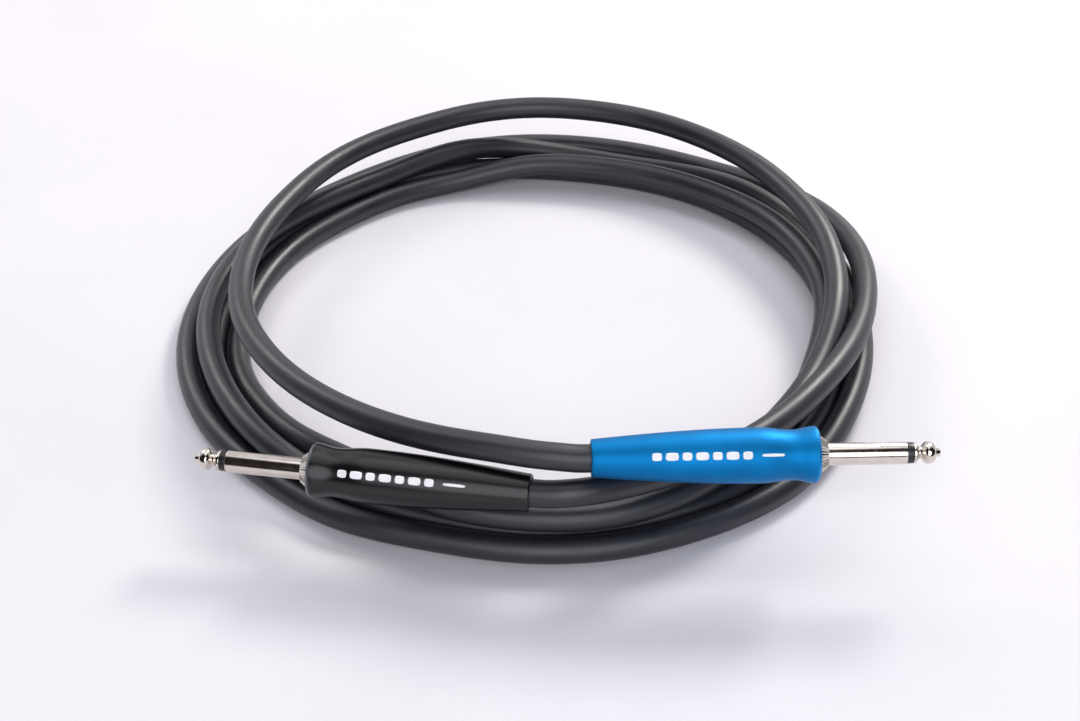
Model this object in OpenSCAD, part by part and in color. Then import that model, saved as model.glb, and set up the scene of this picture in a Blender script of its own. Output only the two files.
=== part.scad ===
// Instrument cable: a wound length of round cable with a straight 6.35 mm jack plug on each end.
// Z is up, the cable lies on the plane z = 0, and the origin is under the middle of the whole object.
// Each plug is drawn along its own X axis, from the rear edge of its barrel at x = 0 towards its tip.

/* [Cable] */
// Outer diameter of the cable jacket
cable_d = 8; // [6:0.1:9]
// Length of jacket that reaches into a barrel
jacket_in = 20; // [18:0.5:24]
// Diameter of the insulation round the inner conductor
core_d = 3; // [2:0.1:3.6]
// Diameter of the inner conductor
conductor_d = 1; // [0.6:0.1:1.4]
// Diameter of the twisted end of the cable's shield
pigtail_d = 1.4; // [1:0.1:1.6]

/* [Coil] */
// Outer radius of the wound turns
coil_outer_r = 116.5; // [98:0.5:122]
// Inner radius of the wound turns
coil_inner_r = 89; // [84:0.5:93]
// Height of the wound turns, two cables on each other
coil_h = 16; // [12:0.5:19]
// Rounding along the edges of the wound turns
coil_edge_r = 4; // [1:0.5:5]

/* [Barrel] */
// Length of a barrel from its rear edge to its front edge
barrel_len = 63.3; // [53:0.5:78]
// Wall of the barrel round the cable outlet
outlet_wall = 0.85; // [0.7:0.05:1.6]
// Length of the narrow cable outlet
outlet_len = 10; // [8:0.5:12]
// Wall of the barrel at its bulge, round the bore for the boss
bulge_wall = 2.1; // [1.7:0.05:2.6]
// Distance of the bulge behind the barrel's front edge
bulge_back = 16.5; // [13.5:0.5:20]
// Wall of the barrel at its waist
waist_wall = 1.3; // [1:0.05:1.6]
// Distance of the waist behind the front edge
waist_back = 7; // [5.5:0.5:9]
// Wall of the barrel at its flared front rim
rim_wall = 2.25; // [1.8:0.05:2.7]
// Length of the bevel at the front rim
rim_bevel = 0.8; // [0.5:0.1:1.2]
// Depth of the bevel at the front rim
rim_bevel_depth = 0.6; // [0.4:0.05:0.9]

/* [Liner] */
// Wall of the liner
liner_wall = 0.4; // [0.3:0.05:0.5]
// Distance of the liner's rear end from the barrel's rear edge
liner_back = 21; // [17.5:0.5:25]

/* [Plug] */
// Diameter of the sleeve contact
plug_d = 6.35; // [5.3:0.01:6.5]
// Length of the sleeve contact past the knurled ring
sleeve_len = 22.2; // [18.5:0.1:26.6]
// Wall of the sleeve contact
sleeve_wall = 0.7; // [0.5:0.05:0.9]
// Length of the thread, over which the barrel screws back
thread_len = 5; // [4:0.5:6]
// Plain shoulder of the boss between the thread and the knurled ring
shoulder_len = 2; // [1.6:0.1:2.4]
// Step from the ground lug's round end out to the boss
boss_step = 0.5; // [0.4:0.05:0.6]
// Step from the boss in to the knurled ring
ring_step = 0.3; // [0.2:0.05:0.5]
// Step from the sleeve out to the knurled ring's front end
ring_front_step = 0.6; // [0.4:0.05:0.8]
// Length of the knurled ring
ring_len = 2.6; // [2.1:0.1:3.2]
// Length of the knurled ring's straight edge at the barrel
ring_edge = 0.3; // [0.2:0.05:0.4]
// Length of the black ring between sleeve and tip
gap_ring_len = 1.9; // [1.5:0.1:2.3]
// Radial step from the sleeve in to the black ring
gap_ring_step = 0.2; // [0.15:0.05:0.25]
// Length of the tip contact past the black ring
tip_len = 7.8; // [6.5:0.1:9.4]
// Length of the tip's collar
collar_len = 0.7; // [0.5:0.1:0.9]
// Distance of the tip's narrow neck from the black ring
neck_at = 2.3; // [1.9:0.1:2.8]
// Diameter of the tip's neck
neck_d = 3.4; // [3:0.1:4.1]
// Distance of the tip's widest place from the black ring
ball_at = 3.9; // [3.2:0.1:4.7]
// Diameter of the tip's nose
nose_d = 2.7; // [2.2:0.1:3.3]
// Bevel at the end of the nose
nose_bevel = 0.6; // [0.4:0.1:0.8]
// Diameter of the rod that carries the tip
rod_d = 2.5; // [2:0.1:3]

/* [Lugs] */
// Sheet thickness of the ground lug
ground_sheet = 0.8; // [0.6:0.1:1]
// Width of the ground lug's arm
ground_arm_w = 3.6; // [3:0.1:4.3]
// Length of the ground lug's cable clamp
clamp_len = 6; // [4:0.5:7]
// Length of jacket that stands out in front of the clamp
clamp_back = 1; // [0.6:0.1:1.6]
// Step from the clamp out to the ground lug's round end
ground_plate_step = 0.35; // [0.3:0.05:0.45]
// Sheet thickness of the tip lug
tip_sheet = 0.5; // [0.4:0.1:0.8]
// Margin of the tip lug's round end round the rod
tip_plate_margin = 1.55; // [1.3:0.05:1.85]
// Width of the tip lug's tab
tip_tab_w = 3; // [2:0.1:3.6]
// Length of the tip lug's tab
tip_tab_len = 8; // [6:0.5:9.5]
// Thickness of the insulating washer between the lugs
washer_len = 1; // [0.6:0.1:1.4]
// Gap between the insulating washer and the ground lug's arm
washer_gap = 0.6; // [0.5:0.05:0.7]
// Length of the rivet head on the rod
rivet_len = 0.8; // [0.6:0.1:1]
// Margin of the rivet head round the rod
rivet_margin = 0.45; // [0.35:0.05:0.45]

/* [Solder] */
// Distance from the inner conductor's end to the tip lug's round end
conductor_back = 4; // [3:0.5:5]
// Length of bare inner conductor
bare_len = 8; // [6:0.5:10]
// Length of the shield's twisted tail
pigtail_len = 10; // [9.5:0.5:12]
// Distance from the jacket's end to the solder on the ground lug
ground_solder_at = 5; // [3:0.5:5.5]
// Length of a drop of solder
solder_len = 4; // [3:0.5:4.5]
// Depth to which solder holds on to a piece
solder_grip = 0.25; // [0.15:0.05:0.4]

/* [Fits] */
// Radial gap between the barrel's front bore and the boss
screw_clearance = 0.05; // [0.02:0.01:0.1]
// Radial gap between the cable and the barrel's outlet
outlet_clearance = 0.5; // [0.3:0.05:0.6]
// Radial gap between the ground lug's clamp and the barrel that slides over it
clamp_clearance = 0.6; // [0.5:0.05:0.7]
// Radial gap between the ground lug's clamp and the liner that slides over it
liner_clearance = 0.4; // [0.3:0.05:0.5]
// Small gap between pieces that are pushed into each other
fit_clearance = 0.05; // [0.02:0.01:0.1]
// Gap between the wound turns and the black barrel above them
rest_gap = 0.5; // [0.3:0.1:0.8]
// Gap between the black plug's cable and the blue barrel above it
cross_gap = 0.65; // [0.4:0.05:0.9]

/* [Hidden] */

// The coil's middle is set a little off the origin, so that the whole box is centred on it.
coil_middle = [-1.45, -3.1, 0];
// The wound turns bulge away from the plugs by this much.
winding_shift = [0, 2, 0];

// Routes are [angle, radius, height]: the angle runs from the front towards -X round the coil's middle.
free_loop_route = [
    [353.5, 103.6, 34.8], [357.5, 102.2, 35], [3.5, 99.8, 34.9], [14, 97, 33.9], [26, 95, 32.6],
    [38, 93.6, 31.2], [50, 92.8, 29.6], [62, 92.5, 27.8], [74, 93, 26], [86, 93.5, 24.8],
    [98, 94.3, 24.3], [110, 95.5, 24], [122, 97.5, 24], [134, 101, 24], [146, 104.2, 24],
    [158, 106.7, 24.3], [170, 110, 24.8], [182, 112.2, 25], [194, 112.6, 25], [206, 112.5, 24.9],
    [218, 111.4, 24.6], [230, 110, 24.2], [242, 107.8, 24], [254, 106.2, 23.8], [266, 104.4, 22.6],
    [278, 102.6, 21], [290, 101, 17.3], [302, 100, 15.2], [314, 100, 13.2]];
lead_route = [
    [158, 113.5, 5], [170, 115.5, 5.8], [182, 116.8, 6], [194, 117.5, 6], [206, 118.8, 5.8],
    [218, 120.6, 6], [230, 122.6, 8.2], [242, 122.5, 11.3], [254, 120.1, 13.8], [266, 115.5, 16.6],
    [278, 111.4, 18.8], [290, 108.2, 20.6], [302, 105.6, 21.2], [314, 104.6, 21.4], [326, 104.2, 21.7],
    [338, 104.5, 22.4], [346, 106.6, 24.1], [350.5, 107.8, 25], [354, 107.8, 25]];
// Length of cable that leaves a barrel straight
straight_out = 3;
// Number of flat sides round a swept length of cable
cable_sides = 12;

// Round the cable: the clamp, the ground lug's round end and the boss that the barrel screws on
clamp_bore = cable_d + 2 * fit_clearance;
clamp_d = clamp_bore + 2 * ground_sheet;
ground_plate_d = clamp_d + 2 * ground_plate_step;
boss_d = ground_plate_d + 2 * boss_step;
boss_len = thread_len + shoulder_len;
ring_d = boss_d - 2 * ring_step;
ring_front_d = plug_d + 2 * ring_front_step;

// Bores and outer diameters of the liner and the barrel
liner_bore = clamp_d + 2 * liner_clearance;
liner_d = liner_bore + 2 * liner_wall;
outlet_bore = cable_d + 2 * outlet_clearance;
clamp_cavity_d = clamp_d + 2 * clamp_clearance;
cavity_d = liner_d + 4 * fit_clearance;
screw_bore = boss_d + 2 * screw_clearance;
barrel_rear_d = outlet_bore + 2 * outlet_wall;
bulge_d = screw_bore + 2 * bulge_wall;
waist_d = screw_bore + 2 * waist_wall;
rim_d = screw_bore + 2 * rim_wall;

// Along the plug's middle: the rod in its tube in the sleeve
rod_bore = rod_d + 2 * fit_clearance;
sleeve_bore = plug_d - 2 * sleeve_wall;
rod_tube_d = sleeve_bore - 2 * fit_clearance;

// Rear edge of each barrel, measured from the coil's middle, and the direction of its plug.
// The black barrel lies on the wound turns, and the blue one over the black plug's cable.
black_height = coil_h + rim_d / 2 + rest_gap;
black_place = [2.5, -106.3, black_height];
black_turn = 171.25;
blue_place = [19.2, -103, black_height + (cable_d + barrel_rear_d) / 2 + cross_gap];
blue_turn = 1.5;

// Places along a plug, counted from the rear edge of its barrel
bulge_x = barrel_len - bulge_back;
waist_x = barrel_len - waist_back;
rim_x = barrel_len - rim_bevel;
boss_x = barrel_len - boss_len;
cavity_end_x = boss_x - 2 * fit_clearance;
sleeve_x = barrel_len + ring_len;
gap_ring_x = sleeve_x + sleeve_len;
tip_x = gap_ring_x + gap_ring_len;
ground_plate_x = boss_x - ground_sheet;
washer_x = ground_plate_x - washer_len;
tip_plate_x = washer_x - tip_sheet;
clamp_x = jacket_in - clamp_len - clamp_back;
liner_x = liner_back + 2 * fit_clearance;
liner_end_x = ground_plate_x - 4 * fit_clearance;

// Heights off a plug's axis inside the barrel
ground_arm_z = -clamp_bore / 2 - ground_sheet;
tip_tab_z = rod_d / 2 + tip_sheet;
pigtail_z = ground_arm_z + ground_sheet + pigtail_d / 2;

// Sizes of the rivet, the washer and the tip lug's round end
rivet_d = rod_d + 2 * rivet_margin;
tip_plate_d = rod_d + 2 * tip_plate_margin;
washer_d = clamp_bore - 2 * washer_gap;
conductor_end_x = tip_plate_x - conductor_back;
core_end_x = conductor_end_x - bare_len;

// Roundness of turned pieces and steps along a curved outline
$fn = 72;
outline_steps = 12;
half_steps = outline_steps / 2;
// Small bevel on the barrel's rear edge
rear_bevel = 0.3;
// How far a cutting shape passes the face that it cuts
over = 1;

// A length from 0 to 1 along a smooth step between two values
function ease(from, to, part) = from + (to - from) * (1 - cos(180 * part)) / 2;
function unit(v) = v / norm(v);
function route_point(p) = [-p[1] * sin(p[0]), -p[1] * cos(p[0]), p[2]] + coil_middle;
function plug_point(place, turn, x) = place + coil_middle + x * [cos(turn), sin(turn), 0];
function heading(path, i) = unit(path[min(i + 1, len(path) - 1)] - path[max(i - 1, 0)]);

// One ring of points round a path, square to its heading
function ring_points(path, i, r) =
    let(ahead = heading(path, i), side = unit(cross([0, 0, 1], ahead)), up = cross(ahead, side))
    [for (k = [0 : cable_sides - 1])
        path[i] + r * (cos(360 * k / cable_sides) * side + sin(360 * k / cable_sides) * up)];

// A round cable swept along a path as one closed solid
module swept_cable(path) {
    rings = len(path);
    points = [for (i = [0 : rings - 1]) each ring_points(path, i, cable_d / 2)];
    walls = [for (i = [0 : rings - 2], k = [0 : cable_sides - 1])
        let(a = i * cable_sides + k, b = i * cable_sides + (k + 1) % cable_sides)
        each [[a, a + cable_sides, b], [b, a + cable_sides, b + cable_sides]]];
    start = [for (k = [0 : cable_sides - 1]) k];
    end = [for (k = [cable_sides - 1 : -1 : 0]) (rings - 1) * cable_sides + k];
    polyhedron(points = points, faces = concat(walls, [start, end]));
}

// A turned piece from an outline of [place along the axis, radius] points
module turned(outline) {
    rotate([0, 90, 0])
        rotate_extrude()
            polygon([for (p = outline) [p[1], p[0]]]);
}

// A round bar or hole along X
module bar(x, length, d) {
    translate([x, 0, 0])
        rotate([0, 90, 0])
            cylinder(h = length, d = d);
}

// A tube along X
module pipe(x, length, outer, inner) {
    difference() {
        bar(x, length, outer);
        bar(x - over, length + 2 * over, inner);
    }
}

// Places a plug's piece where that plug lies
module at_plug(place, turn) {
    translate(place + coil_middle)
        rotate([0, 0, turn])
            children();
}

// Outer shape of the wound turns: a flat ring with rounded edges
module coil() {
    color("dimgray")
        translate(coil_middle + winding_shift)
            rotate_extrude($fn = 180)
                union() {
                    width = coil_outer_r - coil_inner_r;
                    translate([coil_inner_r + coil_edge_r, 0])
                        square([width - 2 * coil_edge_r, coil_h]);
                    translate([coil_inner_r, coil_edge_r])
                        square([width, coil_h - 2 * coil_edge_r]);
                    for (x = [coil_inner_r + coil_edge_r, coil_outer_r - coil_edge_r])
                        for (y = [coil_edge_r, coil_h - coil_edge_r])
                            translate([x, y])
                                circle(r = coil_edge_r, $fn = 32);
                }
}

// The upper turn, from inside the blue plug round the back and down into the winding
module free_loop() {
    inside = [for (x = [jacket_in, jacket_in / 2, 0, -straight_out])
        plug_point(blue_place, blue_turn, x)];
    path = concat(inside, [for (p = free_loop_route) route_point(p)]);
    color("dimgray") swept_cable(path);
}

// The outermost turn, from the winding round the right side and up into the black plug
module lead() {
    inside = [for (x = [-straight_out, 0, jacket_in / 2, jacket_in])
        plug_point(black_place, black_turn, x)];
    path = concat([for (p = lead_route) route_point(p)], inside);
    color("dimgray") swept_cable(path);
}

// Handle that screws over the boss: narrow outlet, bulge, waist and flared rim
module barrel() {
    rear_r = barrel_rear_d / 2;
    swell = [for (i = [1 : outline_steps])
        [bulge_x * i / outline_steps, rear_r + (bulge_d / 2 - rear_r) * sin(90 * i / outline_steps)]];
    neck_in = [for (i = [1 : half_steps])
        [bulge_x + (waist_x - bulge_x) * i / half_steps, ease(bulge_d / 2, waist_d / 2, i / half_steps)]];
    flare = [for (i = [1 : half_steps])
        [waist_x + (rim_x - waist_x) * i / half_steps, ease(waist_d / 2, rim_d / 2, i / half_steps)]];
    difference() {
        turned(concat([[0, 0], [0, rear_r - rear_bevel], [rear_bevel, rear_r]], swell, neck_in, flare,
            [[barrel_len, rim_d / 2 - rim_bevel_depth], [barrel_len, 0]]));
        bar(-over, outlet_len + 2 * over, outlet_bore);
        bar(outlet_len, liner_back - outlet_len + over, clamp_cavity_d);
        bar(liner_back, cavity_end_x - liner_back, cavity_d);
        bar(cavity_end_x - over, barrel_len - cavity_end_x + 2 * over, screw_bore);
    }
}

// Plastic tube that keeps the barrel off the solder joints
module liner() {
    pipe(liner_x, liner_end_x - liner_x, liner_d, liner_bore);
}

// Body of the plug: boss, knurled ring and sleeve contact turned from one bar
module sleeve() {
    difference() {
        turned([[boss_x, 0], [boss_x, boss_d / 2], [barrel_len, boss_d / 2], [barrel_len, ring_d / 2],
            [barrel_len + ring_edge, ring_d / 2], [sleeve_x, ring_front_d / 2], [sleeve_x, plug_d / 2],
            [gap_ring_x, plug_d / 2], [gap_ring_x, 0]]);
        bar(boss_x - over, gap_ring_x - boss_x + 2 * over, sleeve_bore);
    }
}

// Black ring that parts the sleeve from the tip
module gap_ring() {
    pipe(gap_ring_x, gap_ring_len, plug_d - 2 * gap_ring_step, rod_bore);
}

// Tip contact with its collar, neck, ball and nose, on a rod that is riveted behind the lugs
module tip() {
    collar_x = tip_x + collar_len;
    neck_x = tip_x + neck_at;
    ball_x = tip_x + ball_at;
    end_x = tip_x + tip_len;
    rivet_x = tip_plate_x - rivet_len;
    ball_r = plug_d / 2;
    collar_r = ball_r - gap_ring_step;
    neck_r = neck_d / 2;
    nose_r = nose_d / 2;
    hollow = [for (i = [1 : half_steps])
        [collar_x + (neck_x - collar_x) * i / half_steps,
            neck_r + (collar_r - neck_r) * pow(1 - i / half_steps, 2)]];
    rise = [for (i = [1 : half_steps])
        [neck_x + (ball_x - neck_x) * i / half_steps,
            neck_r + (ball_r - neck_r) * sin(90 * i / half_steps)]];
    turned(concat([[rivet_x, 0], [rivet_x, rivet_d / 2], [tip_plate_x, rivet_d / 2],
        [tip_plate_x, rod_d / 2], [tip_x, rod_d / 2], [tip_x, collar_r], [collar_x, collar_r]],
        hollow, rise,
        [[end_x - nose_bevel, nose_r], [end_x, nose_r - nose_bevel], [end_x, 0]]));
}

// Insulating tube between the rod and the sleeve
module rod_tube() {
    pipe(ground_plate_x, gap_ring_x - ground_plate_x, rod_tube_d, rod_bore);
}

// Insulating washer between the two lugs
module washer() {
    pipe(washer_x, washer_len, washer_d, rod_bore);
}

// Tip lug: a round end on the rod and a tab for the inner conductor
module tip_lug() {
    difference() {
        union() {
            bar(tip_plate_x, tip_sheet, tip_plate_d);
            translate([tip_plate_x - tip_tab_len, -tip_tab_w / 2, tip_tab_z])
                cube([tip_tab_len + tip_sheet, tip_tab_w, tip_sheet]);
        }
        bar(tip_plate_x - over, tip_sheet + 2 * over, rod_bore);
    }
}

// Ground lug: a round end behind the boss, an arm and a clamp round the jacket
module ground_lug() {
    difference() {
        union() {
            bar(ground_plate_x, ground_sheet, ground_plate_d);
            bar(clamp_x, clamp_len, clamp_d);
            translate([clamp_x, -ground_arm_w / 2, ground_arm_z])
                cube([boss_x - clamp_x, ground_arm_w, ground_sheet]);
        }
        bar(ground_plate_x - over, ground_sheet + 2 * over, sleeve_bore);
        bar(clamp_x - over, clamp_len + 2 * over, clamp_bore);
    }
}

// Insulation of the inner conductor, bare of its jacket and shield
module core_insulation() {
    pipe(jacket_in, core_end_x - jacket_in, core_d, conductor_d + 2 * fit_clearance);
}

// Inner conductor, from the jacket's end to the tip lug
module conductor() {
    bar(jacket_in, conductor_end_x - jacket_in, conductor_d);
}

// Shield twisted into a tail along the ground lug's arm
module shield_pigtail() {
    translate([0, 0, pigtail_z])
        bar(jacket_in, pigtail_len, pigtail_d);
}

// A drop of solder with pointed ends round an axis along X
module solder_drop(x, r) {
    turned([for (i = [0 : outline_steps])
        [x + solder_len * i / outline_steps, r * sin(180 * i / outline_steps)]]);
}

// Solder between the inner conductor and the tip lug
module tip_solder() {
    translate([0, 0, tip_tab_z / 2])
        solder_drop(conductor_end_x - solder_len + solder_grip, tip_tab_z / 2 + solder_grip);
}

// Solder between the shield's tail and the ground lug
module ground_solder() {
    translate([0, 0, pigtail_z])
        solder_drop(jacket_in + ground_solder_at, pigtail_d / 2 + solder_grip);
}

// The plug with the blue barrel

module blue_barrel() { color("dodgerblue") at_plug(blue_place, blue_turn) barrel(); }
module blue_liner() { color("white") at_plug(blue_place, blue_turn) liner(); }
module blue_sleeve() { color("silver") at_plug(blue_place, blue_turn) sleeve(); }
module blue_gap_ring() { color("black") at_plug(blue_place, blue_turn) gap_ring(); }
module blue_tip() { color("silver") at_plug(blue_place, blue_turn) tip(); }
module blue_rod_tube() { color("ivory") at_plug(blue_place, blue_turn) rod_tube(); }
module blue_washer() { color("saddlebrown") at_plug(blue_place, blue_turn) washer(); }
module blue_tip_lug() { color("gold") at_plug(blue_place, blue_turn) tip_lug(); }
module blue_ground_lug() { color("silver") at_plug(blue_place, blue_turn) ground_lug(); }
module blue_core_insulation() { color("white") at_plug(blue_place, blue_turn) core_insulation(); }
module blue_conductor() { color("orange") at_plug(blue_place, blue_turn) conductor(); }
module blue_shield_pigtail() { color("orange") at_plug(blue_place, blue_turn) shield_pigtail(); }
module blue_tip_solder() { color("lightgray") at_plug(blue_place, blue_turn) tip_solder(); }
module blue_ground_solder() { color("lightgray") at_plug(blue_place, blue_turn) ground_solder(); }

// The plug with the black barrel

module black_barrel() { color("black") at_plug(black_place, black_turn) barrel(); }
module black_liner() { color("white") at_plug(black_place, black_turn) liner(); }
module black_sleeve() { color("silver") at_plug(black_place, black_turn) sleeve(); }
module black_gap_ring() { color("black") at_plug(black_place, black_turn) gap_ring(); }
module black_tip() { color("silver") at_plug(black_place, black_turn) tip(); }
module black_rod_tube() { color("ivory") at_plug(black_place, black_turn) rod_tube(); }
module black_washer() { color("saddlebrown") at_plug(black_place, black_turn) washer(); }
module black_tip_lug() { color("gold") at_plug(black_place, black_turn) tip_lug(); }
module black_ground_lug() { color("silver") at_plug(black_place, black_turn) ground_lug(); }
module black_core_insulation() { color("white") at_plug(black_place, black_turn) core_insulation(); }
module black_conductor() { color("orange") at_plug(black_place, black_turn) conductor(); }
module black_shield_pigtail() { color("orange") at_plug(black_place, black_turn) shield_pigtail(); }
module black_tip_solder() { color("lightgray") at_plug(black_place, black_turn) tip_solder(); }
module black_ground_solder() { color("lightgray") at_plug(black_place, black_turn) ground_solder(); }

coil();
free_loop();
lead();
blue_barrel();
blue_liner();
blue_sleeve();
blue_gap_ring();
blue_tip();
blue_rod_tube();
blue_washer();
blue_tip_lug();
blue_ground_lug();
blue_core_insulation();
blue_conductor();
blue_shield_pigtail();
blue_tip_solder();
blue_ground_solder();
black_barrel();
black_liner();
black_sleeve();
black_gap_ring();
black_tip();
black_rod_tube();
black_washer();
black_tip_lug();
black_ground_lug();
black_core_insulation();
black_conductor();
black_shield_pigtail();
black_tip_solder();
black_ground_solder();
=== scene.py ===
# Instrument cable: five turns of round jacketed cable with a straight jack plug on each end.
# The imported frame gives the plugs' place; the cable's own route is repeated here in millimetres.
import math

import bmesh
import bpy
from mathutils import Matrix, Vector


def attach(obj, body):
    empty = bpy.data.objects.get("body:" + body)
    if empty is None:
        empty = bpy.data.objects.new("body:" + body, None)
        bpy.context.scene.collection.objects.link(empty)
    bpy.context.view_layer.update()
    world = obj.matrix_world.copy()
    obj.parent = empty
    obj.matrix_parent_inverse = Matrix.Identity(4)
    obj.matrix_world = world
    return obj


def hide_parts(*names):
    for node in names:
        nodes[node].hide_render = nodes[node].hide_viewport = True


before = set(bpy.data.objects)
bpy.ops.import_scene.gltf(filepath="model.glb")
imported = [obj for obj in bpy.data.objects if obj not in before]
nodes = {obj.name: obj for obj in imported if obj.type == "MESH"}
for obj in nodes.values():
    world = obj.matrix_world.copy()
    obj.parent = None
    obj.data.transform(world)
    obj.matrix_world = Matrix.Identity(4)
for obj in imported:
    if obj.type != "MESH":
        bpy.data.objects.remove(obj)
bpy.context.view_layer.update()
print("frame loaded:", len(nodes), "nodes")

mm = 0.001  # one millimetre in the frame's metres


def srgb(hexText):
    channels = [int(hexText[i:i + 2], 16) / 255 for i in (1, 3, 5)]
    return [c / 12.92 if c <= 0.04045 else ((c + 0.055) / 1.055) ** 2.4 for c in channels] + [1.0]


def addNode(tree, kind, settings=None, **links):
    # settings are node properties or input values; links join sockets to inputs, at2 to the third
    item = tree.nodes.new(kind)
    for key, value in (settings or {}).items():
        if isinstance(key, str) and hasattr(item, key):
            setattr(item, key, value)
        else:
            item.inputs[key].default_value = value
    for key, source in links.items():
        name = key.replace("_", " ")
        target = item.inputs[int(key[2:])] if key.startswith("at") else item.inputs[name]
        tree.links.new(source, target)
    return item


def newMaterial(name):
    material = bpy.data.materials.new(name)
    material.use_nodes = True
    tree = material.node_tree
    tree.nodes.clear()
    shader = tree.nodes.new("ShaderNodeBsdfPrincipled")
    output = tree.nodes.new("ShaderNodeOutputMaterial")
    tree.links.new(shader.outputs[0], output.inputs["Surface"])
    return material, tree, shader


def setAll(shader, values):
    for key, value in values.items():
        shader.inputs[key].default_value = value


def colourRamp(tree, factor, stops):
    ramp = addNode(tree, "ShaderNodeValToRGB", Fac=factor)
    elements = ramp.color_ramp.elements
    while len(elements) < len(stops):
        elements.new(0.5)
    for element, (place, colour) in zip(elements, stops):
        element.position = place
        element.color = colour
    return ramp.outputs["Color"]


def addBump(tree, shader, height, strength, distance):
    bump = addNode(tree, "ShaderNodeBump", {"Strength": strength, "Distance": distance}, Height=height)
    tree.links.new(bump.outputs["Normal"], shader.inputs["Normal"])


def meshObject(name, vertices, faces, smooth=True):
    mesh = bpy.data.meshes.new(name)
    mesh.from_pydata(vertices, [], faces)
    mesh.update()
    if smooth:
        mesh.polygons.foreach_set("use_smooth", [True] * len(mesh.polygons))
    piece = bpy.data.objects.new(name, mesh)
    bpy.context.scene.collection.objects.link(piece)
    return piece


cameraPlan = {
    "place": (3.6, -444.6, 333.5),  # mm, in front of the coil and above it
    "lookDown": 38.0,  # degrees below the horizon
    "lens": 54.0,  # mm on a sensor 36 mm wide
}


def makeCamera():
    data = bpy.data.cameras.new("camera")
    data.lens = cameraPlan["lens"]
    data.sensor_width = 36
    data.sensor_fit = "HORIZONTAL"
    data.clip_start = 0.01
    camera = bpy.data.objects.new("camera", data)
    camera.location = Vector(cameraPlan["place"]) * mm
    camera.rotation_euler = (math.radians(90 - cameraPlan["lookDown"]), 0, 0)
    bpy.context.scene.collection.objects.link(camera)
    bpy.context.scene.camera = camera


makeCamera()
print("camera made")


plugPlan = {
    "blue": {"rear": (19.2, -103.0, 34.5), "turn": 1.5},  # mm from the coil's middle, degrees
    "black": {"rear": (2.5, -106.3, 24.5), "turn": 171.25},
}
coilMiddle = Vector((-1.45, -3.1, 0))  # mm from the origin
barrelShape = {
    "length": 63.3,
    "rearRadius": 5.35,
    "bulgeRadius": 7.85,
    "bulgeAt": 46.8,
    "waistRadius": 7.05,
    "waistAt": 56.3,
    "rimRadius": 8.0,
    "rimAt": 62.5,
}


def plugMatrix(colour):
    # from a plug's own frame, X along its axis from the barrel's rear edge, to the shared frame, in mm
    plan = plugPlan[colour]
    return Matrix.Translation(Vector(plan["rear"]) + coilMiddle) @ Matrix.Rotation(
        math.radians(plan["turn"]), 4, "Z")


def between(start, end, part):
    return start + (end - start) * part


def ease(start, end, part):
    return between(start, end, (1 - math.cos(math.pi * part)) / 2)


def barrelRadius(x):
    shape = barrelShape
    if x < shape["bulgeAt"]:
        part = x / shape["bulgeAt"]
        return between(shape["rearRadius"], shape["bulgeRadius"], math.sin(math.pi / 2 * part))
    if x < shape["waistAt"]:
        part = (x - shape["bulgeAt"]) / (shape["waistAt"] - shape["bulgeAt"])
        return ease(shape["bulgeRadius"], shape["waistRadius"], part)
    part = min(1.0, (x - shape["waistAt"]) / (shape["rimAt"] - shape["waistAt"]))
    return ease(shape["waistRadius"], shape["rimRadius"], part)


cablePlan = {
    "diameter": 8.0,  # mm
    "insideBarrel": 20.0,  # mm of jacket inside each barrel
    "straightOut": 3.0,  # mm straight behind each barrel
    "sides": 32,
    "ringStep": 2.2,  # mm between rings of the finished tube
}

# angle from the front towards -X, radius, height: the same points as the frame's own cable
freeLoopRoute = [
    (353.5, 103.6, 34.8), (357.5, 102.2, 35), (3.5, 99.8, 34.9), (14, 97, 33.9), (26, 95, 32.6),
    (38, 93.6, 31.2), (50, 92.8, 29.6), (62, 92.5, 27.8), (74, 93, 26), (86, 93.5, 24.8),
    (98, 94.3, 24.3), (110, 95.5, 24), (122, 97.5, 24), (134, 101, 24), (146, 104.2, 24),
    (158, 106.7, 24.3), (170, 110, 24.8), (182, 112.2, 25), (194, 112.6, 25), (206, 112.5, 24.9),
    (218, 111.4, 24.6), (230, 110, 24.2), (242, 107.8, 24), (254, 106.2, 23.8), (266, 104.4, 22.6),
    (278, 102.6, 21), (290, 101, 17.3), (302, 100, 15.2), (314, 100, 13.2)]
leadRoute = [
    (158, 113.5, 5), (170, 115.5, 5.8), (182, 116.8, 6), (194, 117.5, 6), (206, 118.8, 5.8),
    (218, 120.6, 6), (230, 122.6, 8.2), (242, 122.5, 11.3), (254, 120.1, 13.8), (266, 115.5, 16.6),
    (278, 111.4, 18.8), (290, 108.2, 20.6), (302, 105.6, 21.2), (314, 104.6, 21.4), (326, 104.2, 21.7),
    (338, 104.5, 22.4), (346, 106.6, 24.1), (350.5, 107.8, 25), (354, 107.8, 25)]

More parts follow.
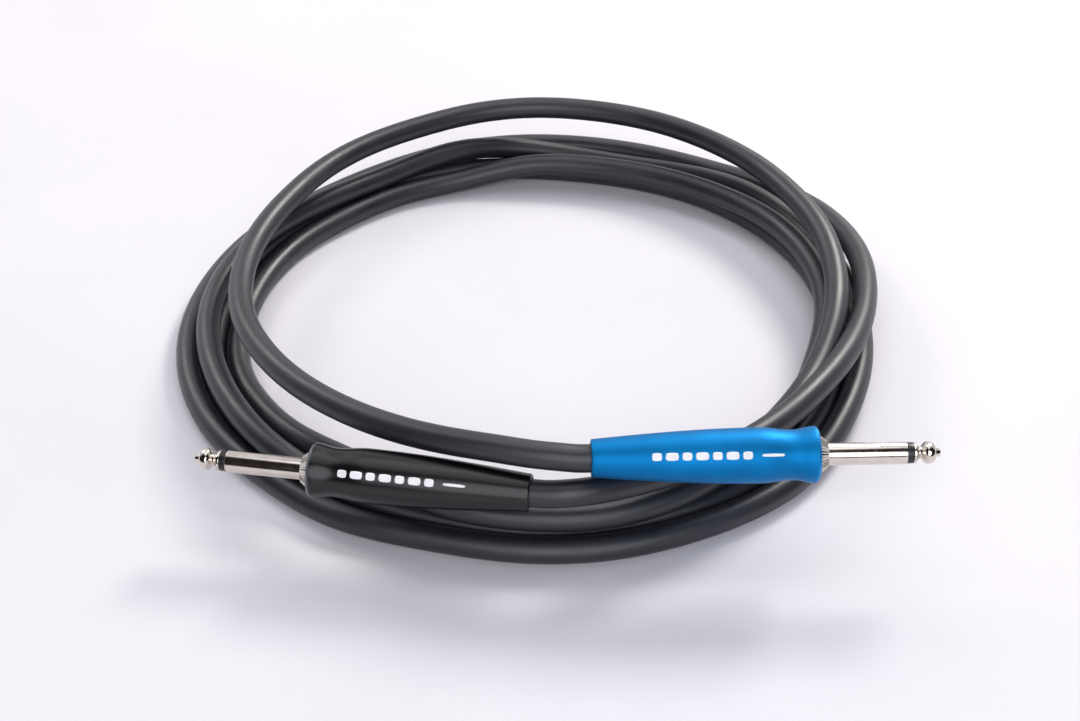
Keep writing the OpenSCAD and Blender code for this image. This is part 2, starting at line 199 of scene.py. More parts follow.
# radius and height of the wound turns at every step round the coil, one line for half a turn
coilStart = 330.0  # degrees
coilStep = 15.0  # degrees
coilTurns = [
    (103.5, 12.5), (105, 12), (103, 12), (100, 12.5), (95, 12.5), (95, 10.5),
    (95, 6.5), (96.5, 4.5), (96, 4), (96, 4), (96, 4), (95, 4),
    (95.5, 4), (95, 5), (95.5, 9), (96.5, 10), (98.5, 10.5), (101, 11),
    (103, 12), (103.5, 12), (101.5, 11.5), (98.5, 9), (97.5, 5), (97, 4),
    (95.5, 4), (93.5, 4), (92, 4), (90.5, 4), (92.5, 4), (99.5, 4),
    (103, 4), (104.5, 4), (104.5, 4), (104.5, 4), (104, 4), (103, 4),
    (104, 4), (103.5, 4), (101.5, 4), (101.5, 4), (103.5, 4), (105.5, 4),
    (106.5, 4), (106, 4), (105, 4), (105, 4), (105.5, 4), (105.5, 4),
    (103.5, 4), (101.5, 4), (100, 4), (98.5, 4), (100.5, 6.5), (104, 11),
    (104.5, 12), (105, 12), (105.5, 12), (104.5, 12), (102, 12), (99.5, 11.5),
    (100.5, 11), (104, 12.5), (108.5, 8.5), (109.5, 5), (111.5, 5.5), (113.5, 8),
    (113.5, 8), (113, 8), (112.5, 7.5), (112.5, 7.5), (113, 6.5), (113.5, 4),
    (111.5, 4), (110, 4), (108, 4), (106.5, 4), (108.5, 4), (109, 4),
    (111, 4), (112.5, 4), (113, 4), (112.5, 4), (112, 4), (111, 4)]


def routePoint(angle, radius, height):
    turn = math.radians(angle)
    return Vector((-radius * math.sin(turn), -radius * math.cos(turn), height)) + coilMiddle


def plugPoint(colour, x):
    return plugMatrix(colour) @ Vector((x, 0, 0))


def cablePoints():
    inside = cablePlan["insideBarrel"]
    out = cablePlan["straightOut"]
    points = [plugPoint("blue", x) for x in (inside, inside / 2, 0, -out)]
    points += [routePoint(*p) for p in freeLoopRoute]
    for step, (radius, height) in enumerate(coilTurns):
        points.append(routePoint(coilStart + coilStep * step, radius, height))
    points += [routePoint(*p) for p in leadRoute]
    points += [plugPoint("black", x) for x in (-out, 0, inside / 2, inside)]
    return points


def naturalSpline(points):
    # second derivatives of a cubic through the points, with the chord length as its parameter
    knots = [0.0]
    for a, b in zip(points, points[1:]):
        knots.append(knots[-1] + (b - a).length)
    count = len(points)
    upper = [0.0] * count
    right = [Vector((0, 0, 0))] * count
    for i in range(1, count - 1):
        before = knots[i] - knots[i - 1]
        after = knots[i + 1] - knots[i]
        slope = ((points[i + 1] - points[i]) / after - (points[i] - points[i - 1]) / before) * 6
        pivot = 2 * (before + after) - before * upper[i - 1]
        upper[i] = after / pivot
        right[i] = (slope - before * right[i - 1]) / pivot
    bend = [Vector((0, 0, 0))] * count
    for i in range(count - 2, 0, -1):
        bend[i] = right[i] - upper[i] * bend[i + 1]
    return knots, bend


def smoothPath(points, step):
    # places along the cubic, a step apart, kept no lower than the cable's radius
    knots, bend = naturalSpline(points)
    total = knots[-1]
    count = int(total / step)
    floorHeight = cablePlan["diameter"] / 2
    path = []
    span = 0
    for i in range(count + 1):
        place = total * i / count
        while span < len(points) - 2 and place > knots[span + 1]:
            span += 1
        width = knots[span + 1] - knots[span]
        b = (place - knots[span]) / width
        a = 1 - b
        at = a * points[span] + b * points[span + 1]
        at += ((a ** 3 - a) * bend[span] + (b ** 3 - b) * bend[span + 1]) * width * width / 6
        at.z = max(at.z, floorHeight)
        path.append(at)
    return path


def makeTube(name, path, radius, sides):
    # rings carried along the path without twist; the UV map is millimetres along and round the cable
    vertices = []
    side = None
    for i, place in enumerate(path):
        ahead = (path[min(i + 1, len(path) - 1)] - path[max(i - 1, 0)]).normalized()
        side = (side or Vector((0, 0, 1)).cross(ahead)).normalized()
        side = (side - ahead * side.dot(ahead)).normalized()
        up = ahead.cross(side)
        for k in range(sides):
            turn = 2 * math.pi * k / sides
            vertices.append((place + radius * (math.cos(turn) * side + math.sin(turn) * up)) * mm)
    faces = []
    for i in range(len(path) - 1):
        for k in range(sides):
            a, b = i * sides + k, i * sides + (k + 1) % sides
            faces.append((a, b, b + sides, a + sides))
    faces.append(tuple(range(sides - 1, -1, -1)))
    faces.append(tuple((len(path) - 1) * sides + k for k in range(sides)))
    tube = meshObject(name, vertices, faces)
    runs = [0.0]
    for a, b in zip(path, path[1:]):
        runs.append(runs[-1] + (b - a).length)
    layer = tube.data.uv_layers.new(name="UVMap")
    sideFaces = (len(path) - 1) * sides
    for polygon in tube.data.polygons:
        closesRing = polygon.index < sideFaces and polygon.index % sides == sides - 1
        for loopIndex in polygon.loop_indices:
            ring, k = divmod(tube.data.loops[loopIndex].vertex_index, sides)
            if closesRing and k == 0:
                k = sides
            layer.data[loopIndex].uv = (runs[ring], 2 * math.pi * radius * k / sides)
    for polygon in tube.data.polygons[sideFaces:]:
        polygon.use_smooth = False  # the two cut ends
    return tube, runs[-1]


def jacketMaterial():
    # extruded PVC rubber: a dull charcoal skin, soft grey highlights, a faint drawn grain along it
    material, tree, shader = newMaterial("extrudedRubberJacket")
    setAll(shader, {"IOR": 1.5, "Specular IOR Level": 0.62})
    place = addNode(tree, "ShaderNodeTexCoord")
    uv = place.outputs["UV"]
    stretched = addNode(tree, "ShaderNodeMapping", {"Scale": (0.05, 0.9, 1)}, Vector=uv)
    drawn = addNode(tree, "ShaderNodeTexNoise", {"Scale": 1.0, "Detail": 4.0, "Roughness": 0.6},
                    Vector=stretched.outputs[0])
    cloudy = addNode(tree, "ShaderNodeTexNoise", {"Scale": 60.0, "Detail": 3.0},
                     Vector=place.outputs["Object"])
    mixed = addNode(tree, "ShaderNodeMath", {"operation": "MULTIPLY_ADD", 1: 0.5},
                    at0=drawn.outputs["Fac"], at2=cloudy.outputs["Fac"])
    colour = colourRamp(tree, mixed.outputs[0], [(0.45, srgb("#1b1d23")), (0.95, srgb("#26282f"))])
    tree.links.new(colour, shader.inputs["Base Color"])
    limits = {"From Min": 0.3, "From Max": 0.7, "To Min": 0.34, "To Max": 0.44}
    rough = addNode(tree, "ShaderNodeMapRange", limits, Value=cloudy.outputs["Fac"])
    tree.links.new(rough.outputs["Result"], shader.inputs["Roughness"])
    grain = addNode(tree, "ShaderNodeTexNoise", {"Scale": 2.6, "Detail": 5.0, "Roughness": 0.7}, Vector=uv)
    addBump(tree, shader, grain.outputs["Fac"], 0.22, 0.00025)
    return material


def makeCable(plugPieces):
    path = smoothPath(cablePoints(), cablePlan["ringStep"])
    cable, run = makeTube("cable", path, cablePlan["diameter"] / 2, cablePlan["sides"])
    cable.data.materials.append(jacketMaterial())
    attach(cable, "cable")
    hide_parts("coil", "free_loop", "lead")
    return run


turnedSegments = 96
sharpEdge = 32.0  # degrees between faces where shading breaks
mergeDistance = 1e-7  # m, a ten-thousandth of a millimetre


def makeTurned(name, colour, outline, body):
    # a closed outline of (x, radius) points in mm, turned round the plug's axis
    place = plugMatrix(colour)
    count = len(outline)
    vertices = []
    for i in range(turnedSegments):
        turn = 2 * math.pi * i / turnedSegments
        for x, radius in outline:
            local = Vector((x, radius * math.cos(turn), radius * math.sin(turn)))
            vertices.append((place @ local) * mm)
    faces = []
    for i in range(turnedSegments):
        following = (i + 1) % turnedSegments
        for j in range(count):
            after = (j + 1) % count
            here, there = i * count, following * count
            faces.append((here + j, here + after, there + after, there + j))
    piece = meshObject(name, vertices, faces)
    mesh = bmesh.new()
    mesh.from_mesh(piece.data)
    bmesh.ops.remove_doubles(mesh, verts=mesh.verts, dist=mergeDistance)
    bmesh.ops.dissolve_degenerate(mesh, edges=mesh.edges, dist=mergeDistance)
    bmesh.ops.recalc_face_normals(mesh, faces=mesh.faces)
    for edge in mesh.edges:
        edge.smooth = len(edge.link_faces) == 2 and edge.calc_face_angle(0) < math.radians(sharpEdge)
    mesh.to_mesh(piece.data)
    mesh.free()
    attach(piece, body)
    return piece


def rounded(corner, before, after, size, steps=4):
    # a small round on an outline's corner; the points before and after it only give directions
    corner, before, after = Vector(corner), Vector(before), Vector(after)
    start = corner + (before - corner).normalized() * size
    end = corner + (after - corner).normalized() * size
    points = []
    for i in range(steps + 1):
        t = i / steps
        points.append(tuple((1 - t) ** 2 * start + 2 * t * (1 - t) * corner + t ** 2 * end))
    return points


barrelBores = {  # mm, from the rear edge and from the axis
    "outletRadius": 4.5,
    "outletLength": 10.0,
    "clampRadius": 5.45,
    "linerAt": 21.0,
    "cavityRadius": 5.75,
    "cavityEnd": 56.2,
    "screwRadius": 5.75,
    "rimLip": 7.4,  # outer radius of the front face, inside the bevel
    "steps": 48,  # rings from the rear edge to the rim
}
barrelRounds = {"outlet": 0.3, "rear": 0.45, "rim": 0.25, "lip": 0.2, "mouth": 0.25}  # mm


def barrelOutline():
    bores = barrelBores
    length = barrelShape["length"]
    rear = barrelShape["rearRadius"]
    steps = bores["steps"]
    places = [barrelShape["rimAt"] * i / steps for i in range(2, steps)]
    outer = [(x, barrelRadius(x)) for x in places]
    outline = rounded((0, bores["outletRadius"]), (3, bores["outletRadius"]), (0, rear),
                      barrelRounds["outlet"])
    outline += rounded((0, rear), (0, 4), (6, barrelRadius(6)), barrelRounds["rear"])
    outline += outer
    rim = (barrelShape["rimAt"], barrelShape["rimRadius"])
    lip = (length, bores["rimLip"])
    outline += rounded(rim, outer[-1], lip, barrelRounds["rim"])
    outline += rounded(lip, rim, (length, 5), barrelRounds["lip"])
    outline += rounded((length, bores["screwRadius"]), (length, 8), (60, bores["screwRadius"]),
                       barrelRounds["mouth"])
    outline += [
        (bores["cavityEnd"], bores["screwRadius"]), (bores["cavityEnd"], bores["cavityRadius"]),
        (bores["linerAt"], bores["cavityRadius"]), (bores["linerAt"], bores["clampRadius"]),
        (bores["outletLength"], bores["clampRadius"]), (bores["outletLength"], bores["outletRadius"])]
    return outline


anodisedPlan = {
    # two tones of the dye and the paler worn rim; the black dye is deep enough to hide the metal
    "blue": {"dark": "#006fac", "light": "#007ab9", "rim": "#2a92d2", "roughness": 0.50, "metallic": 0.85},
    "black": {"dark": "#020203", "light": "#040406", "rim": "#5e6067", "roughness": 0.27, "metallic": 0.0},
}
wornRim = (62.1, 62.8)  # mm along the barrel where the paler rim starts and is full


def anodisedMaterial(colour):
    # turned and anodised aluminium: an even satin dye, fine turning lines and a paler front rim
    material, tree, shader = newMaterial(colour + "AnodisedAluminium")
    look, plan = anodisedPlan[colour], plugPlan[colour]
    setAll(shader, {"Metallic": look["metallic"], "Roughness": look["roughness"]})
    # the texture's X runs along the barrel from its rear edge
    frameSettings = {"vector_type": "TEXTURE", "Location": (Vector(plan["rear"]) + coilMiddle) * mm,
                     "Rotation": (0, 0, math.radians(plan["turn"]))}
    place = addNode(tree, "ShaderNodeTexCoord").outputs["Object"]
    along = addNode(tree, "ShaderNodeMapping", frameSettings, Vector=place)
    cloudy = addNode(tree, "ShaderNodeTexNoise", {"Scale": 90.0, "Detail": 4.0}, Vector=place)
    dye = colourRamp(tree, cloudy.outputs["Fac"], [(0.35, srgb(look["dark"])), (0.7, srgb(look["light"]))])
    parts = addNode(tree, "ShaderNodeSeparateXYZ", Vector=along.outputs[0])
    rimLimits = {"From Min": wornRim[0] * mm, "From Max": wornRim[1] * mm}
    worn = addNode(tree, "ShaderNodeMapRange", rimLimits, Value=parts.outputs["X"])
    mixed = addNode(tree, "ShaderNodeMix", {"data_type": "RGBA"})
    colours = [item for item in mixed.inputs if item.type == "RGBA"]
    colours[1].default_value = srgb(look["rim"])
    tree.links.new(worn.outputs["Result"], mixed.inputs[0])
    tree.links.new(dye, colours[0])
    result = next(item for item in mixed.outputs if item.type == "RGBA")
    tree.links.new(result, shader.inputs["Base Color"])
    # tool marks round the axis, 0.25 mm apart
    stretched = addNode(tree, "ShaderNodeMapping", {"Scale": (4000.0, 60.0, 60.0)}, Vector=along.outputs[0])
    lines = addNode(tree, "ShaderNodeTexNoise", {"Scale": 1.0, "Detail": 2.0}, Vector=stretched.outputs[0])
    addBump(tree, shader, lines.outputs["Fac"], 0.16, 0.00004)
    return material


def nickelMaterial(name="polishedNickelPlate", roughness=0.13):
    # bright nickel over brass: a warm mirror, softly and unevenly hazed by handling
    material, tree, shader = newMaterial(name)
    setAll(shader, {"Metallic": 1.0})
    place = addNode(tree, "ShaderNodeTexCoord").outputs["Object"]
    haze = addNode(tree, "ShaderNodeTexNoise", {"Scale": 220.0, "Detail": 5.0}, Vector=place)
    colour = colourRamp(tree, haze.outputs["Fac"], [(0.3, srgb("#cfc7bd")), (0.7, srgb("#ded8cf"))])
    tree.links.new(colour, shader.inputs["Base Color"])
    rough = addNode(tree, "ShaderNodeMapRange", {"To Min": roughness * 0.7, "To Max": roughness * 1.5},
                    Value=haze.outputs["Fac"])
    tree.links.new(rough.outputs["Result"], shader.inputs["Roughness"])
    return material


def plasticMaterial(name, dark, light, roughness, grain=1500.0, bump=0.12):
    # moulded, extruded or pressed plastic, and printed paint: a soft sheen over a fine grain
    material, tree, shader = newMaterial(name)
    setAll(shader, {"Roughness": roughness, "IOR": 1.5})
    place = addNode(tree, "ShaderNodeTexCoord").outputs["Object"]
    cloudy = addNode(tree, "ShaderNodeTexNoise", {"Scale": 300.0, "Detail": 3.0}, Vector=place)
    colour = colourRamp(tree, cloudy.outputs["Fac"], [(0.35, srgb(dark)), (0.7, srgb(light))])
    tree.links.new(colour, shader.inputs["Base Color"])
    fine = addNode(tree, "ShaderNodeTexNoise", {"Scale": grain, "Detail": 3.0}, Vector=place)
    addBump(tree, shader, fine.outputs["Fac"], bump, 0.0001)
    return material


def metalMaterial(name, dark, light, roughness):
    # bare sheet, wire or solder: a soft metal shine, broken up by fine scratches
    material, tree, shader = newMaterial(name)
    setAll(shader, {"Metallic": 1.0})
    place = addNode(tree, "ShaderNodeTexCoord").outputs["Object"]
    scratches = addNode(tree, "ShaderNodeTexNoise", {"Scale": 700.0, "Detail": 4.0}, Vector=place)
    colour = colourRamp(tree, scratches.outputs["Fac"], [(0.35, srgb(dark)), (0.7, srgb(light))])
    tree.links.new(colour, shader.inputs["Base Color"])
    rough = addNode(tree, "ShaderNodeMapRange", {"To Min": roughness * 0.8, "To Max": roughness * 1.3},
                    Value=scratches.outputs["Fac"])
    tree.links.new(rough.outputs["Result"], shader.inputs["Roughness"])
    return material


sleevePlan = {  # mm, measured as the barrel is
    "bossAt": 56.3,
    "bossRadius": 5.7,
    "ringAt": 63.3,
    "ringRadius": 5.4,
    "ringFrontRadius": 3.775,
    "sleeveAt": 65.9,
    "radius": 3.175,
    "end": 88.1,
    "boreRadius": 2.475,
    "bossBevel": 0.3,
    "ringFlat": 0.3,  # mm of the ring's rear edge before its cone starts
}
sleeveRounds = {"ringRear": 0.12, "ringFront": 0.15, "sleeveRear": 0.12, "sleeveFront": 0.18}  # mm
tipPlan = {
    "start": 90.0,
    "collarEnd": 90.7,
    "collarRadius": 2.975,
    "neckAt": 92.3,
    "neckRadius": 1.7,
    "ballAt": 93.9,
    "ballRadius": 3.175,
    "end": 97.8,
    "noseAt": 96.3,
    "noseRadius": 1.45,
    "noseTaper": 0.5,
    "rodRadius": 1.25,
    "rivetAt": 53.2,
    "rivetRadius": 1.7,
    "rivetLength": 0.8,
    "steps": 8,  # rings on each of the neck, the ball and the nose
}
axisRadius = 0.001  # mm, where an outline closes on the axis


def sleeveOutline():
    plan = sleevePlan
    bore, radius, bevel = plan["boreRadius"], plan["radius"], plan["bossBevel"]
    bossAt, ringAt, sleeveAt, end = plan["bossAt"], plan["ringAt"], plan["sleeveAt"], plan["end"]
    ringRear, ringFront = (ringAt, plan["ringRadius"]), (sleeveAt, plan["ringFrontRadius"])
    outline = [(bossAt, bore), (bossAt, plan["bossRadius"] - bevel), (bossAt + bevel, plan["bossRadius"]),
               (ringAt, plan["bossRadius"]), ringRear]
    outline += rounded((ringAt + plan["ringFlat"], plan["ringRadius"]), ringRear, ringFront,
                       sleeveRounds["ringRear"])
    outline += rounded(ringFront, ringRear, (sleeveAt, 0), sleeveRounds["ringFront"])
    outline += rounded((sleeveAt, radius), (sleeveAt, 9), (end, radius), sleeveRounds["sleeveRear"])
    outline += rounded((end, radius), (sleeveAt, radius), (end, 0), sleeveRounds["sleeveFront"])
    outline += [(end, bore)]
    return outline


def tipOutline():
    plan = tipPlan
    start, collarEnd, collar = plan["start"], plan["collarEnd"], plan["collarRadius"]
    neck, ball, nose = plan["neckRadius"], plan["ballRadius"], plan["noseRadius"]
    steps = plan["steps"]
    rivetAt, rivet = plan["rivetAt"], plan["rivetRadius"]
    rivetEnd = rivetAt + plan["rivetLength"]
    outline = [(rivetAt, axisRadius), (rivetAt + 0.1, rivet * 0.7), (rivetAt + 0.35, rivet),
               (rivetEnd, rivet), (rivetEnd, plan["rodRadius"]), (start, plan["rodRadius"])]
    outline += rounded((start, collar), (start, 0), (collarEnd, collar), 0.1)
    outline += rounded((collarEnd, collar), (start, collar), (collarEnd, 0), 0.12)
    # the hollow neck, then the ball that falls off as a quarter round into a short blunt cone
    for i in range(steps + 1):
        part = i / steps
        x = between(collarEnd, plan["neckAt"], part)
        outline.append((x, between(neck, collar, (1 - part) ** 2)))
    for i in range(1, steps + 1):
        part = i / steps
        x = between(plan["neckAt"], plan["ballAt"], part)
        outline.append((x, between(neck, ball, math.sin(math.pi / 2 * part) ** 1.2)))
    for i in range(1, steps):
        part = i / steps
        x = between(plan["ballAt"], plan["noseAt"], part)
        outline.append((x, between(nose, ball, math.sqrt(1 - part ** 2.6))))
    noseStart, noseEnd = (plan["noseAt"], nose), (plan["end"], nose - plan["noseTaper"])
    outline.append(noseStart)
    outline += rounded(noseEnd, noseStart, (plan["end"], 0), 0.5, 6)
    outline.append((plan["end"], axisRadius))
    return outline


def gapRingOutline():
    start, end = sleevePlan["end"], tipPlan["start"]
    radius = tipPlan["collarRadius"]
    bore = tipPlan["rodRadius"] + 0.05
    outline = [(start, bore)]
    outline += rounded((start, radius), (start, 0), (end, radius), 0.1)
    outline += rounded((end, radius), (start, radius), (end, 0), 0.1)
    outline += [(end, bore)]
    return outline


knurlPlan = {
    "count": 40,
    "width": 0.34,  # mm
    "height": 0.16,  # mm above the ring's cone
    "sink": 0.25,  # mm into the cone
    "flank": 0.2,  # share of the height where the ridge's sides start
    "inset": (0.32, 0.02),  # mm from the ring's rear and front edges
}


def knurlTree(material):
    # one ridge on every point of a circle, standing on the ring's slope
    tree = bpy.data.node_groups.new("knurledRing", "GeometryNodeTree")
    face = tree.interface
    face.new_socket("Geometry", in_out="INPUT", socket_type="NodeSocketGeometry")
    count = face.new_socket("Ridge count", in_out="INPUT", socket_type="NodeSocketInt")
    radius = face.new_socket("Ring radius", in_out="INPUT", socket_type="NodeSocketFloat")
    face.new_socket("Geometry", in_out="OUTPUT", socket_type="NodeSocketGeometry")
    given = tree.nodes.new("NodeGroupInput")
    result = tree.nodes.new("NodeGroupOutput")
    circle = addNode(tree, "GeometryNodeMeshCircle", {"fill_type": "NONE"},
                     Vertices=given.outputs["Ridge count"], Radius=given.outputs["Ring radius"])
    position = addNode(tree, "GeometryNodeInputPosition")
    outwards = addNode(tree, "FunctionNodeAlignRotationToVector", {"axis": "X"},
                       Vector=position.outputs[0])
    placed = addNode(tree, "GeometryNodeInstanceOnPoints", Points=circle.outputs["Mesh"],
                     Instance=given.outputs["Geometry"], Rotation=outwards.outputs[0])
    real = addNode(tree, "GeometryNodeRealizeInstances", Geometry=placed.outputs[0])
    painted = addNode(tree, "GeometryNodeSetMaterial", {"Material": material}, Geometry=real.outputs[0])
    tree.links.new(painted.outputs[0], result.inputs[0])
    return tree, count.identifier, radius.identifier


def ridgeVertices():
    # a wedge along the cone's slope, in a frame with X outwards and Z along the plug
    plan = sleevePlan
    half = knurlPlan["width"] / 2
    mean = (plan["ringRadius"] + plan["ringFrontRadius"]) / 2
    rearInset, frontInset = knurlPlan["inset"]
    rear = (plan["ringRadius"] - mean, rearInset)
    front = (plan["ringFrontRadius"] - mean, plan["sleeveAt"] - plan["ringAt"] - frontInset)
    vertices = []
    for outward, along in (rear, front):
        low = outward - knurlPlan["sink"]
        side = outward + knurlPlan["height"] * knurlPlan["flank"]
        crest = outward + knurlPlan["height"]
        vertices += [(low, -half, along), (low, half, along), (side, half, along), (crest, 0, along),
                     (side, -half, along)]
    faces = [(0, 4, 3, 2, 1), (5, 6, 7, 8, 9)]
    for k in range(5):
        faces.append((k, (k + 1) % 5, 5 + (k + 1) % 5, 5 + k))
    return [tuple(c * mm for c in v) for v in vertices], faces, mean


def faceOutwards(mesh):
    turned = bmesh.new()
    turned.from_mesh(mesh)
    bmesh.ops.recalc_face_normals(turned, faces=turned.faces)
    turned.to_mesh(mesh)
    turned.free()


def makeKnurls(colour, material):
    vertices, faces, mean = ridgeVertices()
    ridge = meshObject(colour + "Ridge", vertices, faces, smooth=False)
    tree, countSocket, radiusSocket = knurlTree(material)
    modifier = ridge.modifiers.new("knurls", "NODES")
    modifier.node_group = tree
    modifier[countSocket] = knurlPlan["count"]
    modifier[radiusSocket] = mean * mm
    graph = bpy.context.evaluated_depsgraph_get()
    mesh = bpy.data.meshes.new_from_object(ridge.evaluated_get(graph))
    bpy.data.objects.remove(ridge)
    # the tree works round Z, so the ring's axis is turned onto the plug's and moved to its place
    place = Matrix.Scale(mm, 4) @ plugMatrix(colour) @ Matrix.Translation((sleevePlan["ringAt"], 0, 0))
    place = place @ Matrix.Rotation(math.pi / 2, 4, "Y") @ Matrix.Scale(1 / mm, 4)
    mesh.transform(place)
    knurls = bpy.data.objects.new(colour + "RingKnurls", mesh)
    bpy.context.scene.collection.objects.link(knurls)
    faceOutwards(mesh)
    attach(knurls, "cable")
    return knurls


markPlan = {
    "starts": [16.5, 20.2, 24.8, 28.5, 33.1, 36.8, 41.4],  # mm from the barrel's rear edge
    "lengths": [2.7, 3.6, 2.7, 3.6, 2.7, 3.6, 2.7],
    "height": 2.2,
    "endMark": (46.6, 6.4, 0.8),  # start, length and height of the last, thin dash
    "span": 70.6,  # first start plus last end: the black barrel's row runs the other way
    "lifts": (0.03, -0.1),  # mm over the barrel of the paint's face and of its hidden underside
    "roundness": 0.55,  # of a dash's corners
    "grid": 8,  # cells along and across a dash
    "angle": {"blue": 138.5, "black": 41.5},  # degrees round the axis
}


def markPatch(colour, start, length, height):
    # one rounded dash of paint that follows the barrel's curve, closed underneath
    place = plugMatrix(colour)
    middle = math.radians(markPlan["angle"][colour])
    roundness, grid = markPlan["roundness"], markPlan["grid"]
    vertices = []
    for lift in markPlan["lifts"]:
        for i in range(grid + 1):
            for j in range(grid + 1):
                u, v = 2 * i / grid - 1, 2 * j / grid - 1
                x = start + length / 2 + u * math.sqrt(1 - roundness * v * v / 2) * length / 2
                arc = v * math.sqrt(1 - roundness * u * u / 2) * height / 2
                radius = barrelRadius(x)
                turn = middle + arc / radius
                radius += lift
                vertices.append((place @ Vector((x, radius * math.cos(turn), radius * math.sin(turn)))) * mm)
    row = grid + 1
    size = row * row
    faces = []
    for i in range(grid):
        for j in range(grid):
            a = i * row + j
            faces.append((a, a + row, a + row + 1, a + 1))
            faces.append((size + a, size + a + 1, size + a + row + 1, size + a + row))
    edge = [i * row for i in range(row)] + [grid * row + j for j in range(1, row)]
    edge += [i * row + grid for i in range(grid - 1, -1, -1)] + [j for j in range(grid - 1, 0, -1)]
    for a, b in zip(edge, edge[1:] + edge[:1]):
        faces.append((a, b, size + b, size + a))
    return vertices, faces


def makeMarks(colour, material):
    vertices, faces = [], []
    dashes = [(s, n, markPlan["height"]) for s, n in zip(markPlan["starts"], markPlan["lengths"])]
    for start, length, height in dashes + [markPlan["endMark"]]:
        if colour == "black":
            start = markPlan["span"] - start - length
        more, moreFaces = markPatch(colour, start, length, height)
        base = len(vertices)
        vertices += more
        faces += [tuple(base + k for k in face) for face in moreFaces]
    marks = meshObject(colour + "BarrelMarks", vertices, faces)
    faceOutwards(marks.data)
    marks.data.materials.append(material)
    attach(marks, colour + "_barrel_body")


def paintNode(node, material):
    # gives a frame node one material in every slot
    slots = node.material_slots
    if not slots:
        node.data.materials.append(material)
    for item in slots:
        item.material = material


barrelFinish = {colour: anodisedMaterial(colour) for colour in ("blue", "black")}
nickel = nickelMaterial()
nickelSheet = nickelMaterial("nickelPlatedSheet", 0.24)
gapPlastic = plasticMaterial("blackMouldedNylon", "#0d0d0f", "#17171a", 0.32)
ivoryPlastic = plasticMaterial("ivoryPolyethylene", "#cfc6b0", "#ddd6c3", 0.45)
linerPlastic = plasticMaterial("whiteExtrudedLiner", "#d8d8d4", "#e6e6e2", 0.4)
washerFibre = plasticMaterial("pressedRedFibre", "#6a2c18", "#7d3a22", 0.6, 900.0, 0.3)
printPaint = plasticMaterial("whitePadPrint", "#f2f4f6", "#ffffff", 0.5, 2500.0, 0.05)
lugBrass = metalMaterial("stampedBrass", "#b88f44", "#d3ac62", 0.3)
wireCopper = metalMaterial("bareCopperStrand", "#b4683e", "#cf8458", 0.35)
solderTin = metalMaterial("tinSolder", "#9a9ba0", "#b9babf", 0.28)

innerFinish = {
    "liner": linerPlastic, "rod_tube": ivoryPlastic, "washer": washerFibre, "tip_lug": lugBrass,
    "ground_lug": nickelSheet, "core_insulation": ivoryPlastic, "conductor": wireCopper,
    "shield_pigtail": wireCopper, "tip_solder": solderTin, "ground_solder": solderTin,
}

# node of the frame, its outline, its finish and its material slot in the record
turnedParts = {
    "Sleeve": ("sleeve", sleeveOutline, nickel, "nickel"),
    "Tip": ("tip", tipOutline, nickel, "nickel"),
    "GapRing": ("gap_ring", gapRingOutline, gapPlastic, "black_plastic"),
}


def makePlug(colour):
    barrel = makeTurned(colour + "Barrel", colour, barrelOutline(), colour + "_barrel_body")
    barrel.data.materials.append(barrelFinish[colour])
    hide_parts(colour + "_barrel")
    pieces = []
    for name, (node, outline, finish, slotName) in turnedParts.items():
        piece = makeTurned(colour + name, colour, outline(), "cable")
        piece.data.materials.append(finish)
        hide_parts(colour + "_" + node)
        pieces.append(piece)
    pieces.append(makeKnurls(colour, nickel))
    makeMarks(colour, printPaint)
    for node, finish in innerFinish.items():
        paintNode(nodes[colour + "_" + node], finish)
    print(colour, "plug made")
    return pieces


makePlug("blue")
print("cable made:", round(makeCable(makePlug("black"))), "mm long")


floorPlan = {
    "size": 3.0,  # m
    "dark": "#dfdee3",
    "light": "#e4e3e8",
    "weaveScale": 1 / 0.0022,  # a thread every 0.7 mm
}


def makeFloor():
    # a pale cloth: nearly white, faintly clouded, with very fine threads along it
    half = floorPlan["size"] / 2
    floor = meshObject("floor", [(-half, -half, 0), (half, -half, 0), (half, half, 0), (-half, half, 0)],
                       [(0, 1, 2, 3)], smooth=False)
    material, tree, shader = newMaterial("paleWovenCloth")
    setAll(shader, {"Roughness": 0.8, "Specular IOR Level": 0.25})
    place = addNode(tree, "ShaderNodeTexCoord").outputs["Object"]
    cloudy = addNode(tree, "ShaderNodeTexNoise", {"Scale": 9.0, "Detail": 4.0}, Vector=place)
    tones = [(0.35, srgb(floorPlan["dark"])), (0.7, srgb(floorPlan["light"]))]
    colour = colourRamp(tree, cloudy.outputs["Fac"], tones)
    tree.links.new(colour, shader.inputs["Base Color"])
    weave = addNode(tree, "ShaderNodeTexWave", {"Scale": floorPlan["weaveScale"], "Distortion": 1.0},
                    Vector=place)
    addBump(tree, shader, weave.outputs["Fac"], 0.1, 0.0002)
    floor.data.materials.append(material)


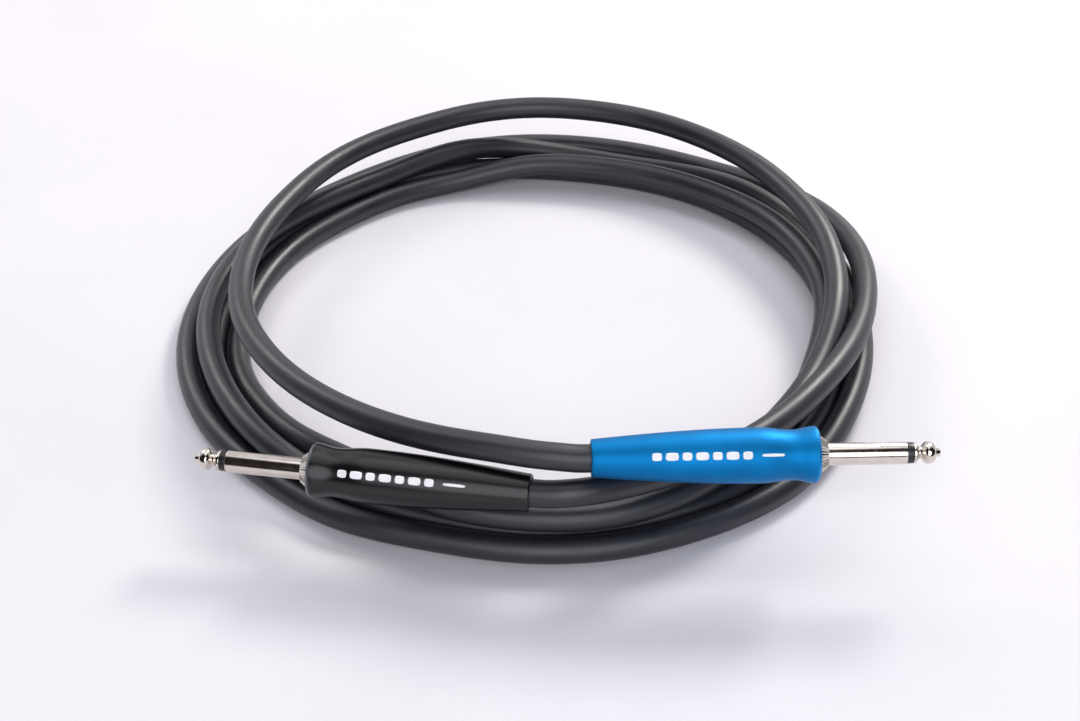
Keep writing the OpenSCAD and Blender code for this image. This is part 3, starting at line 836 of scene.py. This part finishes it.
lightPlan = {
    # place and size in m, power in W; gloss is the share of the light that shows in shiny surfaces
    "keyBackRight": {"place": (0.55, 0.80, 0.85), "size": 0.38, "power": 11.0,
                     "colour": "#fffaf4", "gloss": 1.0},
    "keyBackLeft": {"place": (-0.75, 0.70, 0.80), "size": 0.42, "power": 3.0,
                    "colour": "#fffaf6", "gloss": 1.0},
    "topSoft": {"place": (0.0, 0.1, 1.3), "size": 1.2, "power": 4.0,
                "colour": "#fbfaff", "gloss": 0.45},
    "fillFront": {"place": (0.1, -1.25, 0.75), "size": 1.5, "power": 15.0,
                  "colour": "#f7f8ff", "gloss": 0.03},
}
# the room from front to back: brownish dark behind the camera, bright behind the coil
roomPlan = [(0.0, "#1e1816"), (0.52, "#2c2422"), (0.62, "#f0eefb"), (1.0, "#ffffff")]
roomStrength = 0.8
lightAim = Vector((0, 0, 0.01))  # m, low in the coil's middle


def makeLights():
    for name, plan in lightPlan.items():
        data = bpy.data.lights.new(name, "AREA")
        data.shape = "DISK"
        data.size = plan["size"]
        data.energy = plan["power"]
        data.color = srgb(plan["colour"])[:3]
        data.specular_factor = plan["gloss"]
        lamp = bpy.data.objects.new(name, data)
        lamp.location = plan["place"]
        aim = lightAim - Vector(plan["place"])
        lamp.rotation_euler = aim.to_track_quat("-Z", "Y").to_euler()
        bpy.context.scene.collection.objects.link(lamp)
    bpy.context.scene.view_settings.view_transform = "Standard"  # the plain studio look, with full blues


def makeRoom():
    world = bpy.data.worlds.new("studio")
    bpy.context.scene.world = world
    world.use_nodes = True
    tree = world.node_tree
    background = tree.nodes["Background"]
    background.inputs["Strength"].default_value = roomStrength
    direction = addNode(tree, "ShaderNodeTexCoord").outputs["Generated"]
    parts = addNode(tree, "ShaderNodeSeparateXYZ", Vector=direction)
    depth = addNode(tree, "ShaderNodeMapRange", {"From Min": -1.0, "From Max": 1.0},
                    Value=parts.outputs["Y"])
    colour = colourRamp(tree, depth.outputs["Result"], [(at, srgb(tint)) for at, tint in roomPlan])
    tree.links.new(colour, background.inputs["Color"])


makeFloor()
makeLights()
makeRoom()
print("floor and light made")
